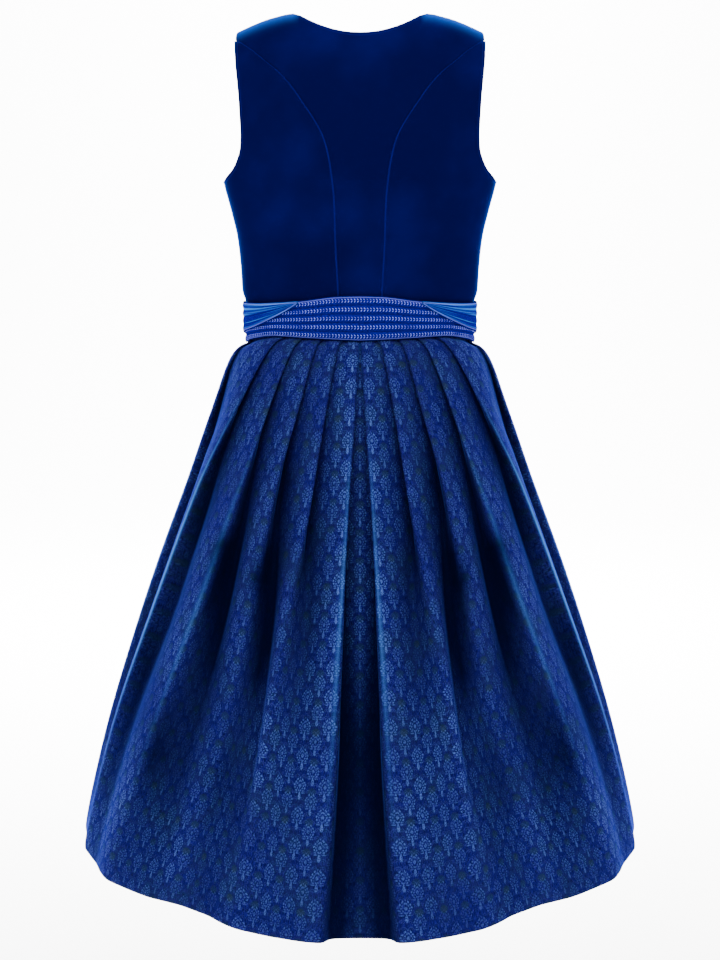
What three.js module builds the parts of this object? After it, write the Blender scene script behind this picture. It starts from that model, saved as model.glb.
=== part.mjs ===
// A dirndl seen from behind: a sleeveless velvet bodice with princess seams, a wrapped waist sash
// and a pleated skirt. It keeps the hollow shape it has when it is worn on a general figure.
// Millimetres, +Z up. -Y is the back of the garment and +Y its front, so -X is the wearer's left.
// The origin is the middle of the line between the two shoulder seams, where the wearer holds it.
import * as THREE from 'three';

// Cloth walls and the gap that is left wherever two pieces meet.
const velvet = 1.5;
const jacquard = 1.2;
const ribbon = 1.2;
const seamGap = 0.3;

// Levels, in millimetres above the origin.
const waistLevel = -370;
const underarmLevel = -191;
const frontNeckLevel = -160;

// The shoulder line from the neck point out to the armhole, and its slope carried on inside the neck.
const shoulderLine = [
  { x: 77.5, level: 12.3 },
  { x: 86, level: 11.6 },
  { x: 100, level: 8.4 },
  { x: 113, level: 4.8 },
  { x: 132.4, level: -2.7 },
  { x: 151, level: -11 },
];
const neckPointHalf = shoulderLine[0].x;
const neckPointLevel = shoulderLine[0].level;
const shoulderTipHalf = shoulderLine.at(-1).x;
const shoulderTipLevel = shoulderLine.at(-1).level;
const neckSlope = 0.32;

// The figure's cross-sections: half width, depth behind and depth in front of the side seams.
// Above the underarm the half width is that of the arms' roots, which the armholes cut away.
const figure = [
  { level: -370, half: 138, back: 88, front: 88 },
  { level: -345, half: 138.6, back: 88, front: 89 },
  { level: -336, half: 142, back: 88.5, front: 91 },
  { level: -323, half: 146, back: 90, front: 96 },
  { level: -298, half: 147.4, back: 94, front: 104 },
  { level: -261, half: 151, back: 100, front: 112 },
  { level: -225, half: 159, back: 106, front: 116 },
  { level: -191, half: 167.5, back: 110, front: 114 },
  { level: -150, half: 172.5, back: 112, front: 106 },
  { level: -110, half: 177.5, back: 110, front: 96 },
  { level: -60, half: 182, back: 104, front: 88 },
  { level: 12, half: 186, back: 98, front: 84 },
];

// Where the cloth starts to round over towards the shoulder line, and how tightly it does.
const shoulderRound = { from: -150, power: 3 };

// Fullness that the front princess seams give over the bust.
const bust = { x: 76, level: -246, out: 15, spreadX: 40, spreadZ: 46 };

// The back princess seam, from the waist to the armhole: half distance from the centre back.
const backSeam = [
  { level: -370, x: 24.5 },
  { level: -308, x: 27 },
  { level: -259, x: 29.5 },
  { level: -216, x: 30.5 },
  { level: -173, x: 34 },
  { level: -135, x: 44 },
  { level: -117, x: 55 },
  { level: -97, x: 68 },
  { level: -80, x: 80 },
  { level: -62, x: 96 },
  { level: -48, x: 113 },
  { level: -34, x: 130 },
  { level: -21, x: 149 },
];

// The front princess seam, from the waist over the bust to the armhole.
const frontSeam = [
  { level: -370, x: 52 },
  { level: -310, x: 62 },
  { level: -246, x: 76 },
  { level: -190, x: 92 },
  { level: -150, x: 110 },
  { level: -110, x: 129 },
];

// The armhole edges, as angles round the figure from the centre back and from the centre front.
const backArmhole = [
  { level: -191, angle: 90 },
  { level: -187, angle: 80 },
  { level: -175, angle: 66 },
  { level: -163, angle: 60.5 },
  { level: -150, angle: 57.2 },
  { level: -126, angle: 55.2 },
  { level: -89, angle: 54.6 },
  { level: -40, angle: 55.6 },
  { level: -11, angle: 55.8 },
];
const frontArmhole = [
  { level: -191, angle: 90 },
  { level: -186, angle: 76 },
  { level: -175, angle: 61 },
  { level: -160, angle: 53 },
  { level: -140, angle: 48.5 },
  { level: -110, angle: 47 },
  { level: -60, angle: 49 },
  { level: -11, angle: 55.8 },
];

// The front neckline, a plain scoop: half width at each level.
const frontNeck = [
  { level: -160, x: 0 },
  { level: -157, x: 22 },
  { level: -146, x: 41 },
  { level: -122, x: 57 },
  { level: -80, x: 68 },
  { level: -30, x: 74 },
  { level: 12, x: 77.5 },
];

// The back neckline, as the drop below the neck points.
const backNeckDrop = 27;

// The skirt below the sash: half width and depth at each distance below the sash's lower edge.
const skirtShape = [
  { below: -24, half: 138, depth: 88 },
  { below: 2, half: 138.2, depth: 88.2 },
  { below: 6, half: 148, depth: 96 },
  { below: 11, half: 154, depth: 104 },
  { below: 22, half: 161, depth: 116 },
  { below: 42, half: 168.5, depth: 134 },
  { below: 67, half: 176, depth: 146 },
  { below: 118, half: 192, depth: 169 },
  { below: 169, half: 207.5, depth: 187 },
  { below: 273, half: 244, depth: 226 },
  { below: 377, half: 279.5, depth: 265 },
  { below: 484, half: 313.5, depth: 301 },
  { below: 592, half: 341, depth: 330 },
  { below: 650, half: 353, depth: 341 },
];

// The sash's lower edge and the hem, as levels at angles from the centre back.
const sashLowerEdge = [
  { angle: 0, level: -379.5 },
  { angle: 22, level: -377.6 },
  { angle: 46, level: -376 },
  { angle: 67, level: -381 },
  { angle: 90, level: -388.5 },
  { angle: 180, level: -390 },
];
const hem = [
  { angle: 0, level: -1036 },
  { angle: 8, level: -1038 },
  { angle: 22, level: -1033 },
  { angle: 37, level: -1023 },
  { angle: 54, level: -1029 },
  { angle: 66, level: -1025 },
  { angle: 90, level: -1016 },
];

// The pleats of one quarter, counted from the centre. Each has a pressed edge, the ridge, that faces
// the centre, and a deep fold, the valley, which lies under the next panel where the pleat is closed.
// Angles are at the six stations of pleatStations, given as distances below the waist seam.
const pleatStations = [0, 80, 180, 300, 450, 650];
const backPleats = [
  { name: 'centre', ridge: [0.5, 1.8, 3.3, 4.2, 5.0, 7.1], valley: [5.6, 6.4, 6.2, 5.2, 4.0, 5.0],
    rise: [1.7, 4, 8, 10, 11, 11], drop: [1.7, 6, 13, 18, 20, 15] },
  { name: 'first', ridge: [9.7, 12.8, 15.2, 18.2, 19.9, 21.5], valley: [15.6, 17.2, 17.0, 14.8, 14.0, 15.0],
    rise: [1.7, 4, 8, 9, 9, 8], drop: [1.7, 6, 11, 10, -3, -7] },
  { name: 'second', ridge: [19.7, 23.6, 27.7, 28.7, 31.0, 38.5], valley: [25.8, 27.6, 28.6, 25.6, 24.6, 31.5],
    rise: [1.7, 4, 8, 9, 1, -7], drop: [1.7, 6, 13, 17, 11, 7] },
  { name: 'third', ridge: [30.4, 36.2, 40.6, 44.2, 51.0, 59.0], valley: [36.6, 40.2, 41.6, 41.6, 43.4, 46.0],
    rise: [1.7, 4, 8, 11, 9, 6], drop: [1.7, 6, 13, 19, 16, 6] },
  { name: 'fourth', ridge: [42.2, 53.0, 64.2, 68.0, 72.5, 75.0], valley: [49.6, 57.4, 64.4, 64.4, 67.0, 69.0],
    rise: [1.7, 4, 8, 9, 8, 6], drop: [1.7, 6, 12, 12, 6, 0] },
  { name: 'side', ridge: [77.0, 80.0, 81.2, 82.6, 84.4, 85.8], valley: [83.4, 83.4, 79.8, 78.6, 80.2, 81.4],
    rise: [1.7, 4, 7, 8, 6, 4], drop: [1.7, 6, 10, 11, 5, 0] },
];
const frontPleats = [
  { name: 'centre', ridge: [0.5, 1.6, 3.0, 4.6, 6.2, 8.4], valley: [5.6, 6.4, 6.0, 5.4, 4.8, 6.0],
    rise: [1.7, 4, 8, 10, 10, 10], drop: [1.7, 6, 13, 18, 19, 14] },
  { name: 'first', ridge: [9.9, 13.2, 16.4, 18.8, 20.4, 23.5], valley: [15.8, 17.6, 17.6, 16.2, 16.0, 17.5],
    rise: [1.7, 4, 8, 9, 9, 7], drop: [1.7, 6, 12, 11, 2, -4] },
  { name: 'second', ridge: [20.1, 25.0, 29.6, 31.8, 34.6, 40.0], valley: [26.0, 29.0, 30.6, 28.4, 28.0, 33.0],
    rise: [1.7, 4, 8, 9, 4, -4], drop: [1.7, 6, 13, 16, 11, 7] },
  { name: 'third', ridge: [31.0, 37.6, 43.0, 47.0, 51.8, 58.0], valley: [37.0, 41.4, 44.0, 43.2, 44.6, 48.0],
    rise: [1.7, 4, 8, 10, 8, 6], drop: [1.7, 6, 13, 16, 12, 5] },
  { name: 'fourth', ridge: [43.0, 53.4, 62.0, 66.2, 70.5, 73.5], valley: [50.0, 57.6, 62.4, 62.4, 64.4, 67.0],
    rise: [1.7, 4, 8, 9, 9, 6], drop: [1.7, 6, 12, 14, 8, 2] },
  { name: 'side', ridge: [77.0, 79.4, 80.6, 82.0, 83.6, 85.4], valley: [83.4, 82.8, 79.2, 78.0, 79.4, 80.8],
    rise: [1.7, 4, 7, 8, 6, 4], drop: [1.7, 6, 10, 11, 6, 1] },
];
const foldTurn = 1.7;
const openTurn = { valley: 1.3, ridge: 0.7 };
const closedOverlap = 2.5;

// The sash: distance outside the waist, and how far its soft folds stand out.
const sashUnder = { out: 3.9, relief: 1.5, folds: 5, to: 97 };
const sashOver = { out: 7.0, relief: 1.1, folds: 4, from: 31.5 };
const sashUnderTop = [
  { angle: 0, level: -325 },
  { angle: 10, level: -325.7 },
  { angle: 29, level: -331.5 },
  { angle: 60, level: -339 },
  { angle: 100, level: -342 },
];
const sashOverTop = [
  { angle: 29, level: -331.5 },
  { angle: 45, level: -334.5 },
  { angle: 60, level: -336.5 },
  { angle: 90, level: -337.5 },
  { angle: 180, level: -334 },
  { angle: 200, level: -334 },
];
const sashOverBottom = [
  { angle: 29, level: -332.5 },
  { angle: 43, level: -350 },
  { angle: 58, level: -362.7 },
  { angle: 70, level: -369.5 },
  { angle: 90, level: -376 },
  { angle: 115, level: -383 },
  { angle: 140, level: -388 },
  { angle: 200, level: -389.5 },
];
const sashEnds = { left: 196, right: 189, lift: 2.9, liftFrom: 158, liftTo: 169 };

// Grid steps.
const skirtRings = [-10, 2, 6, 12, 24, 48, 85, 130, 190, 260, 340, 435, 540, 650];
const bodiceRows = [-369.7, -345, -336, -323, -298, -270, -240, -214, -191, -187, -180, -172, -160, -146,
  -130, -113, -95, -78, -62, -48, -35, -24, -17, -13, -11.5, -11];
const columns = { back: 12, sideBack: 7, sideFront: 6, front: 7, sashUnder: 30, sashOver: 24 };

// Smooth curve through the rows of a table.
function curve(rows, across, value) {
  const xs = rows.map((row) => row[across]);
  const ys = rows.map((row) => row[value]);
  return smooth(xs, ys);
}

function smooth(xs, ys) {
  const last = xs.length - 1;
  const slopes = xs.map((x, k) => {
    if (k === 0 || k === last) return 0;
    const before = (ys[k] - ys[k - 1]) / (x - xs[k - 1]);
    const after = (ys[k + 1] - ys[k]) / (xs[k + 1] - x);
    return before * after <= 0 ? 0 : (2 * before * after) / (before + after);
  });
  slopes[0] = (ys[1] - ys[0]) / (xs[1] - xs[0]);
  slopes[last] = (ys[last] - ys[last - 1]) / (xs[last] - xs[last - 1]);
  return (x) => {
    if (x <= xs[0]) return ys[0];
    if (x >= xs[last]) return ys[last];
    const k = xs.findIndex((end) => x <= end) - 1;
    const span = xs[k + 1] - xs[k];
    const t = (x - xs[k]) / span;
    const t2 = t * t;
    const t3 = t2 * t;
    return (2 * t3 - 3 * t2 + 1) * ys[k] + (t3 - 2 * t2 + t) * span * slopes[k]
      + (3 * t2 - 2 * t3) * ys[k + 1] + (t3 - t2) * span * slopes[k + 1];
  };
}

const rad = THREE.MathUtils.degToRad;
const deg = THREE.MathUtils.radToDeg;
const lerp = THREE.MathUtils.lerp;
const clamp = THREE.MathUtils.clamp;

// Closed cloth wall round a grid of mid-surface points, along the given normals.
function wall(grid, normals, thickness) {
  const rows = grid.length;
  const cols = grid[0].length;
  const positions = [];
  for (const side of [0.5, -0.5]) {
    for (let j = 0; j < rows; j += 1) {
      for (let i = 0; i < cols; i += 1) {
        const p = grid[j][i].clone().addScaledVector(normals[j][i], side * thickness);
        positions.push(p.x, p.y, p.z);
      }
    }
  }
  const outer = (j, i) => j * cols + i;
  const inner = (j, i) => rows * cols + j * cols + i;
  const indices = [];
  const quad = (a, b, c, d) => indices.push(a, b, c, a, c, d);
  const turnedQuad = (a, b, c, d) => indices.push(a, b, d, b, c, d);
  for (let j = 0; j < rows - 1; j += 1) {
    for (let i = 0; i < cols - 1; i += 1) {
      const rising = grid[j][i].distanceTo(grid[j + 1][i + 1]) < grid[j][i + 1].distanceTo(grid[j + 1][i]);
      (rising ? quad : turnedQuad)(outer(j, i), outer(j, i + 1), outer(j + 1, i + 1), outer(j + 1, i));
      (rising ? quad : turnedQuad)(inner(j, i), inner(j + 1, i), inner(j + 1, i + 1), inner(j, i + 1));
    }
    quad(outer(j, 0), outer(j + 1, 0), inner(j + 1, 0), inner(j, 0));
    quad(outer(j, cols - 1), inner(j, cols - 1), inner(j + 1, cols - 1), outer(j + 1, cols - 1));
  }
  for (let i = 0; i < cols - 1; i += 1) {
    quad(outer(0, i), inner(0, i), inner(0, i + 1), outer(0, i + 1));
    quad(outer(rows - 1, i), outer(rows - 1, i + 1), inner(rows - 1, i + 1), inner(rows - 1, i));
  }
  const geometry = new THREE.BufferGeometry();
  geometry.setAttribute('position', new THREE.Float32BufferAttribute(positions, 3));
  geometry.setIndex(indices);
  geometry.computeVertexNormals();
  return geometry;
}

// Unit normals of a grid, pointing away from the garment's axis.
function gridNormals(grid) {
  return grid.map((row, j) => row.map((point, i) => {
    const left = row[Math.max(i - 1, 0)];
    const right = row[Math.min(i + 1, row.length - 1)];
    const below = grid[Math.max(j - 1, 0)][i];
    const above = grid[Math.min(j + 1, grid.length - 1)][i];
    return right.clone().sub(left).cross(above.clone().sub(below)).normalize();
  }));
}

// A wall round a grid whose rows run from the waist up, turned so that its faces point out.
function panel(grid, thickness) {
  const middle = grid[Math.floor(grid.length / 3)];
  const k = Math.floor(middle.length / 2);
  const normal = gridNormals(grid)[Math.floor(grid.length / 3)][k];
  const turned = normal.x * middle[k].x + normal.y * middle[k].y < 0
    ? grid.map((row) => [...row].reverse()) : grid;
  return wall(turned, gridNormals(turned), thickness);
}

// The figure that the bodice is cut for.
const halfAt = curve(figure, 'level', 'half');
const backDepthAt = curve(figure, 'level', 'back');
const frontDepthAt = curve(figure, 'level', 'front');

const shoulderAt = curve(shoulderLine, 'x', 'level');

function shoulderLevelAt(x) {
  const inside = Math.max(0, neckPointHalf - Math.abs(x));
  return shoulderAt(Math.abs(x)) + inside * neckSlope;
}

function roundOver(x, level) {
  const share = clamp((level - shoulderRound.from) / (shoulderLevelAt(x) - shoulderRound.from), 0, 1);
  return Math.sqrt(Math.max(0, 1 - share ** shoulderRound.power));
}

function bustFullness(x, level) {
  const across = (Math.abs(x) - bust.x) / bust.spreadX;
  const up = (level - bust.level) / bust.spreadZ;
  return bust.out * Math.exp(-(across * across + up * up) / 2);
}

// The point of the bodice at x on its back (facing -1) or front (facing 1).
function onFigure(x, level, facing) {
  const share = clamp(x / halfAt(level), -1, 1);
  const around = Math.sqrt(Math.max(0, 1 - share * share));
  const depth = facing < 0 ? backDepthAt(level) : frontDepthAt(level);
  const full = facing > 0 ? bustFullness(x, level) * Math.min(1, around * 2) : 0;
  const y = facing * (depth * around + full) * roundOver(x, level);
  return new THREE.Vector3(x, y, level);
}

function atAngle(angle, level, facing) {
  return onFigure(halfAt(level) * Math.sin(rad(angle)), level, facing);
}

// Bodice back: one panel between the princess seams, with the neckline and both shoulder ends.
const backSeamAt = curve(backSeam, 'level', 'x');
const backArmholeAt = curve(backArmhole, 'level', 'angle');

function backEdgeX(level) {
  const armhole = halfAt(level) * Math.sin(rad(backArmholeAt(level)));
  return level > backSeam.at(-1).level ? Math.min(armhole, shoulderTipHalf) : backSeamAt(level);
}

function backTopLevel(x) {
  if (Math.abs(x) >= neckPointHalf) return shoulderLevelAt(x);
  const share = 1 - (x / neckPointHalf) ** 2;
  return neckPointLevel - backNeckDrop * share;
}

function backPanel() {
  const grid = bodiceRows.map((level) => {
    const edge = backEdgeX(level) - seamGap / 2;
    const lifted = clamp((level - shoulderRound.from) / (shoulderTipLevel - shoulderRound.from), 0, 1) ** 2;
    return Array.from({ length: columns.back + 1 }, (_, i) => {
      const x = edge * (2 * i / columns.back - 1);
      const topX = (x / edge) * shoulderTipHalf;
      const point = onFigure(x, level + (backTopLevel(topX) - shoulderTipLevel) * lifted, -1);
      if (level === shoulderTipLevel && Math.abs(x) > neckPointHalf - 3) point.y = -seamGap / 2;
      return point;
    });
  });
  return panel(grid, velvet);
}

// Side back: from the princess seam round to the side seam, and up to the armhole.
function sidePanel(side, facing, seamAt, armholeAt, topLevel, count) {
  const levels = [...bodiceRows.filter((level) => level < topLevel), topLevel];
  const grid = levels.map((level) => {
    const half = halfAt(level);
    const inner = deg(Math.asin((seamAt(level) + seamGap / 2) / half));
    const sideGap = deg(seamGap / 2 / (facing < 0 ? backDepthAt(level) : frontDepthAt(level)));
    const outer = level > underarmLevel ? armholeAt(level) : 90 - sideGap;
    return Array.from({ length: count + 1 }, (_, i) => {
      const point = atAngle(lerp(inner, outer, i / count), level, facing);
      point.x *= side;
      return point;
    });
  });
  return panel(grid, velvet);
}

// Front: from the centre front to the princess seam, with the scooped neckline and the shoulder end.
const frontSeamAt = curve(frontSeam, 'level', 'x');
const frontArmholeAt = curve(frontArmhole, 'level', 'angle');
const frontNeckAt = curve(frontNeck, 'level', 'x');

function frontPanel(side) {
  const seamEnd = frontSeam.at(-1).level;
  const levels = [...bodiceRows.filter((level) => level < frontNeckLevel - 8), -162, -160, -158, -154, -147, -138, -126,
    -110, -92, -72, -50, -32, -22, -16, -13, -11.5, -11].sort((a, b) => a - b);
  const grid = levels.map((level) => {
    const armhole = halfAt(level) * Math.sin(rad(frontArmholeAt(level)));
    const outer = level > seamEnd ? Math.min(armhole, shoulderTipHalf) : frontSeamAt(level) - seamGap / 2;
    const rise = clamp((level - frontNeckLevel) / (shoulderTipLevel - frontNeckLevel), 0, 1);
    const innerLevel = level + rise * (neckPointLevel - shoulderTipLevel);
    const inner = level > frontNeckLevel ? Math.max(frontNeckAt(innerLevel), seamGap / 2) : seamGap / 2;
    return Array.from({ length: columns.front + 1 }, (_, i) => {
      const share = i / columns.front;
      const x = lerp(inner, outer, share);
      const bow = shoulderAt(Math.max(x, neckPointHalf)) - lerp(neckPointLevel, shoulderTipLevel, share);
      const point = onFigure(x, lerp(innerLevel, level, share) + bow * rise ** 4, 1);
      if (level === shoulderTipLevel) point.y = seamGap / 2;
      point.x *= side;
      return point;
    });
  });
  return panel(grid, velvet);
}

// Sash: bands laid round the waist over the waist seam, each with soft folds along its length.
const sashUnderTopAt = curve(sashUnderTop, 'angle', 'level');
const sashLowerEdgeAt = curve(sashLowerEdge, 'angle', 'level');
const sashOverTopAt = curve(sashOverTop, 'angle', 'level');
const sashOverBottomAt = curve(sashOverBottom, 'angle', 'level');

function roundWaist(angle, level, out, side) {
  const flare = clamp((level + 340) / 15, 0, 1) * 1.2;
  const a = rad(angle);
  const { half, back } = figure[0];
  const normal = new THREE.Vector2(Math.sin(a) / half, -Math.cos(a) / back).normalize();
  const reach = out + flare;
  return new THREE.Vector3(side * (half * Math.sin(a) + normal.x * reach), -back * Math.cos(a) + normal.y * reach, level);
}

function foldRelief(share, folds, height) {
  return height * Math.abs(Math.sin(Math.PI * folds * share));
}

function underSash() {
  const rows = 2 * sashUnder.folds;
  const grid = Array.from({ length: rows + 1 }, (_, j) => (
    Array.from({ length: columns.sashUnder + 1 }, (__, i) => {
      const angle = sashUnder.to * (2 * i / columns.sashUnder - 1);
      const share = j / rows;
      const level = lerp(sashLowerEdgeAt(Math.abs(angle)), sashUnderTopAt(Math.abs(angle)), share);
      return roundWaist(angle, level, sashUnder.out + foldRelief(share, sashUnder.folds, sashUnder.relief), 1);
    })
  ));
  return panel(grid, ribbon);
}

function overSash(side, end, lift) {
  const rows = 2 * sashOver.folds;
  const grid = Array.from({ length: rows + 1 }, (_, j) => (
    Array.from({ length: columns.sashOver + 1 }, (__, i) => {
      const angle = lerp(sashOver.from, end, i / columns.sashOver);
      const share = j / rows;
      const level = lerp(sashOverBottomAt(angle), sashOverTopAt(angle), share);
      const raised = lift * THREE.MathUtils.smoothstep(angle, sashEnds.liftFrom, sashEnds.liftTo);
      const height = (level - sashOverBottomAt(angle)) / (sashOverTopAt(angle) - sashOverBottomAt(angle));
      const wide = clamp((sashOverTopAt(angle) - sashOverBottomAt(angle)) / 26, 0, 1);
      const relief = foldRelief(height, sashOver.folds, sashOver.relief * wide);
      return roundWaist(angle, level, sashOver.out + raised + relief, side);
    })
  ));
  return panel(grid, ribbon);
}

// Skirt: rings of pleats. A ring's points are a base on the skirt's shape plus a distance outwards.
const skirtHalfAt = curve(skirtShape, 'below', 'half');
const skirtDepthAt = curve(skirtShape, 'below', 'depth');
const hemAt = curve(hem, 'angle', 'level');

function skirtLevel(angle, below, facing) {
  const edge = sashLowerEdgeAt(facing < 0 ? Math.abs(angle) : 180 - Math.abs(angle));
  if (below < 0) return edge + (waistLevel - edge) * (below / skirtRings[0]);
  return edge - (below / skirtRings.at(-1)) * (edge - hemAt(Math.abs(angle)));
}

function skirtBase(angle, below, facing) {
  const a = rad(angle);
  const level = skirtLevel(angle, below, facing);
  return new THREE.Vector3(skirtHalfAt(below) * Math.sin(a), -skirtDepthAt(below) * Math.cos(a), level);
}

// A point of the skirt's cloth, with the directions along the ring and out of the cloth.
function skirtPlace(angle, below, out, facing) {
  const step = 0.5;
  const along = skirtBase(angle + step, below, facing).sub(skirtBase(angle - step, below, facing)).normalize();
  const higher = skirtBase(angle, Math.max(below - step, skirtRings[0]), facing);
  const lower = skirtBase(angle, Math.min(below + step, skirtRings.at(-1)), facing);
  const normal = along.clone().cross(higher.sub(lower)).normalize();
  return { point: skirtBase(angle, below, facing).addScaledVector(normal, out), along, normal };
}

// One quarter's ring as pairs of angle and distance out, from the centre to the side seam.
function quarterRing(pleats, below) {
  const at = (values) => smooth(pleatStations, values)(Math.max(0, below));
  const folds = pleats.map((pleat) => {
    const ridge = at(pleat.ridge);
    const valley = at(pleat.valley);
    const open = 1 - clamp((valley - ridge) / closedOverlap, 0, 1);
    return { ridge, valley, open, rise: at(pleat.rise), drop: at(pleat.drop) };
  });
  const hump = 0.15 * (folds[0].drop - 1.7);
  const points = [{ angle: 0, out: -folds[0].drop + hump }];
  folds.forEach((fold, k) => {
    const turnValley = openTurn.valley * fold.open;
    const turnRidge = openTurn.ridge * fold.open;
    points.push({ angle: fold.valley - turnValley, out: -fold.drop });
    points.push({ angle: fold.valley + turnValley, out: -fold.drop + foldTurn });
    points.push({ angle: fold.ridge - turnRidge, out: fold.rise - foldTurn });
    points.push({ angle: fold.ridge + turnRidge, out: fold.rise });
    const from = Math.max(fold.ridge + turnRidge, fold.valley);
    const next = folds[k + 1];
    if (!next) {
      points.push({ angle: lerp(from, 89, 0.4 * fold.open), out: fold.rise });
      return;
    }
    const to = Math.min(next.ridge, next.valley - openTurn.valley * next.open);
    const depth = fold.rise + next.drop;
    points.push({ angle: lerp(from, to, 0.3 * fold.open), out: fold.rise - depth * lerp(0, 0.12, fold.open) });
    if (!folds[k + 2]) points.push({ angle: lerp(from, to, 0.5), out: fold.rise - depth * lerp(0.5, 0.27, next.open) });
    points.push({ angle: lerp(to, from, 0.3 * next.open), out: fold.rise - depth * lerp(1, 0.5, next.open) });
  });
  return points;
}

function halfRing(pleats, below, facing) {
  const quarter = quarterRing(pleats, below);
  const sideGap = deg(seamGap / 2 / skirtDepthAt(below));
  const side = { angle: 90 - sideGap, out: quarter.at(-1).out };
  const right = [...quarter, side];
  const left = right.slice(1).reverse().map((point) => ({ angle: -point.angle, out: point.out }));
  return [...left, ...right].map((point) => skirtPlace(point.angle, below, point.out, facing));
}

// Normals of a ring, mitred so that the cloth keeps its thickness at a corner.
function ringNormals(ring) {
  return ring.map(({ point, along, normal }, i) => {
    const turned = (from, to) => {
      const d = to.point.clone().sub(from.point);
      return along.clone().multiplyScalar(-d.dot(normal)).addScaledVector(normal, d.dot(along)).normalize();
    };
    const first = turned(ring[Math.max(i - 1, 0)], ring[Math.max(i, 1)]);
    const second = turned(ring[Math.min(i, ring.length - 2)], ring[Math.min(i + 1, ring.length - 1)]);
    const mitre = first.clone().add(second).normalize();
    return mitre.multiplyScalar(1 / Math.max(0.62, mitre.dot(second)));
  });
}

function skirtHalf(pleats, facing) {
  const rings = [...skirtRings].reverse().map((below) => halfRing(pleats, below, facing));
  const geometry = wall(rings.map((ring) => ring.map(({ point }) => point)), rings.map(ringNormals), jacquard);
  return facing < 0 ? geometry : geometry.rotateZ(Math.PI);
}

// The finishes and the group.
const finishes = {
  velvet: new THREE.MeshStandardMaterial({ color: 0x04124f, roughness: 0.9, metalness: 0 }),
  jacquard: new THREE.MeshStandardMaterial({ color: 0x0f2f86, roughness: 0.55, metalness: 0.1 }),
  ribbon: new THREE.MeshStandardMaterial({ color: 0x0a22a6, roughness: 0.45, metalness: 0.05 }),
};

const dirndl = new THREE.Group();

function sew(name, geometry, finish) {
  const mesh = new THREE.Mesh(geometry, finish);
  mesh.name = name;
  dirndl.add(mesh);
  return mesh;
}

sew('bodice_back', backPanel(), finishes.velvet);
for (const [name, side] of [['left', -1], ['right', 1]]) {
  sew(`bodice_side_back_${name}`, sidePanel(side, -1, backSeamAt, backArmholeAt, -22, columns.sideBack), finishes.velvet);
  sew(`bodice_side_front_${name}`, sidePanel(side, 1, frontSeamAt, frontArmholeAt, -113, columns.sideFront), finishes.velvet);
  sew(`bodice_front_${name}`, frontPanel(side), finishes.velvet);
}
sew('sash_back', underSash(), finishes.ribbon);
sew('sash_left', overSash(-1, sashEnds.left, sashEnds.lift), finishes.ribbon);
sew('sash_right', overSash(1, sashEnds.right, 0), finishes.ribbon);
sew('skirt_back', skirtHalf(backPleats, -1), finishes.jacquard);
sew('skirt_front', skirtHalf(frontPleats, 1), finishes.jacquard);

export default dirndl;
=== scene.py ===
import math

import bpy
import numpy as np
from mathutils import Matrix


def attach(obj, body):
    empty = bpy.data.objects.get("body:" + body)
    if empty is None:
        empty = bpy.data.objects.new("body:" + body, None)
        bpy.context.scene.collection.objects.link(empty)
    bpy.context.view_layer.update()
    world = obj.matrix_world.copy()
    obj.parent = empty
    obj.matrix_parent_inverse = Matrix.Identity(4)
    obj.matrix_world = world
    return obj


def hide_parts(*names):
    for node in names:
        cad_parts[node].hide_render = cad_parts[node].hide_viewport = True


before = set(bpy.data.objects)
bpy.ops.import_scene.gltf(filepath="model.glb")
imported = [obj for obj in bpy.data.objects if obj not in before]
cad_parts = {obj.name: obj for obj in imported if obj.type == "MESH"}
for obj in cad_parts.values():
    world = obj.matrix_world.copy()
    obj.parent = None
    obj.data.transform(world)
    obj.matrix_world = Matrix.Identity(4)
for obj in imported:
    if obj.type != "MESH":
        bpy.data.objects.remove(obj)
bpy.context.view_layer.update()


# Back of the bodice: one panel of cotton velvet between the two princess seams, which carries the
# whole back neckline and both shoulder ends. Its edges are turned in and topstitched close by.

MM = 0.001
WAIST = -370
UNDERARM = -191
SHOULDER_ROUND_FROM = -150
SHOULDER_ROUND_POWER = 3
NECK_SLOPE = 0.32
BACK_NECK_DROP = 27
VELVET_THICK = 1.5 * MM

# level, half width, depth behind and depth in front of the figure that the dress is cut for
FIGURE = [
    (-370, 138, 88, 88), (-345, 138.6, 88, 89), (-336, 142, 88.5, 91), (-323, 146, 90, 96),
    (-298, 147.4, 94, 104), (-261, 151, 100, 112), (-225, 159, 106, 116), (-191, 167.5, 110, 114),
    (-150, 172.5, 112, 106), (-110, 177.5, 110, 96), (-60, 182, 104, 88), (12, 186, 98, 84),
]
# half width, level along the shoulder from the neck point to the armhole
SHOULDER = [(77.5, 12.3), (86, 11.6), (100, 8.4), (113, 4.8), (132.4, -2.7), (151, -11)]
# level, half width between the back princess seams
BACK_SEAM = [
    (-370, 24.5), (-308, 27), (-259, 29.5), (-216, 30.5), (-173, 35), (-150, 39.6), (-135, 44.6),
    (-117, 54.4), (-97, 68), (-80, 80), (-62, 96), (-48, 113), (-34, 130), (-21, 149),
]
# level, angle round the figure from the centre back to the armhole
BACK_ARMHOLE = [
    (-191, 90), (-187, 80), (-175, 66), (-163, 60.5), (-150, 57.2), (-126, 55.2), (-89, 54.6),
    (-40, 55.6), (-11, 55.8),
]
BODICE_LEVELS = [
    -369.7, -345, -336, -323, -298, -270, -240, -214, -191, -187, -180, -172, -160, -146, -130,
    -113, -95, -78, -62, -48, -35, -24, -17, -13, -11.5, -11,
]
# Parts of each step between two levels, and columns across the back
LEVEL_PARTS = 4
BACK_COLUMNS = 44


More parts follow.
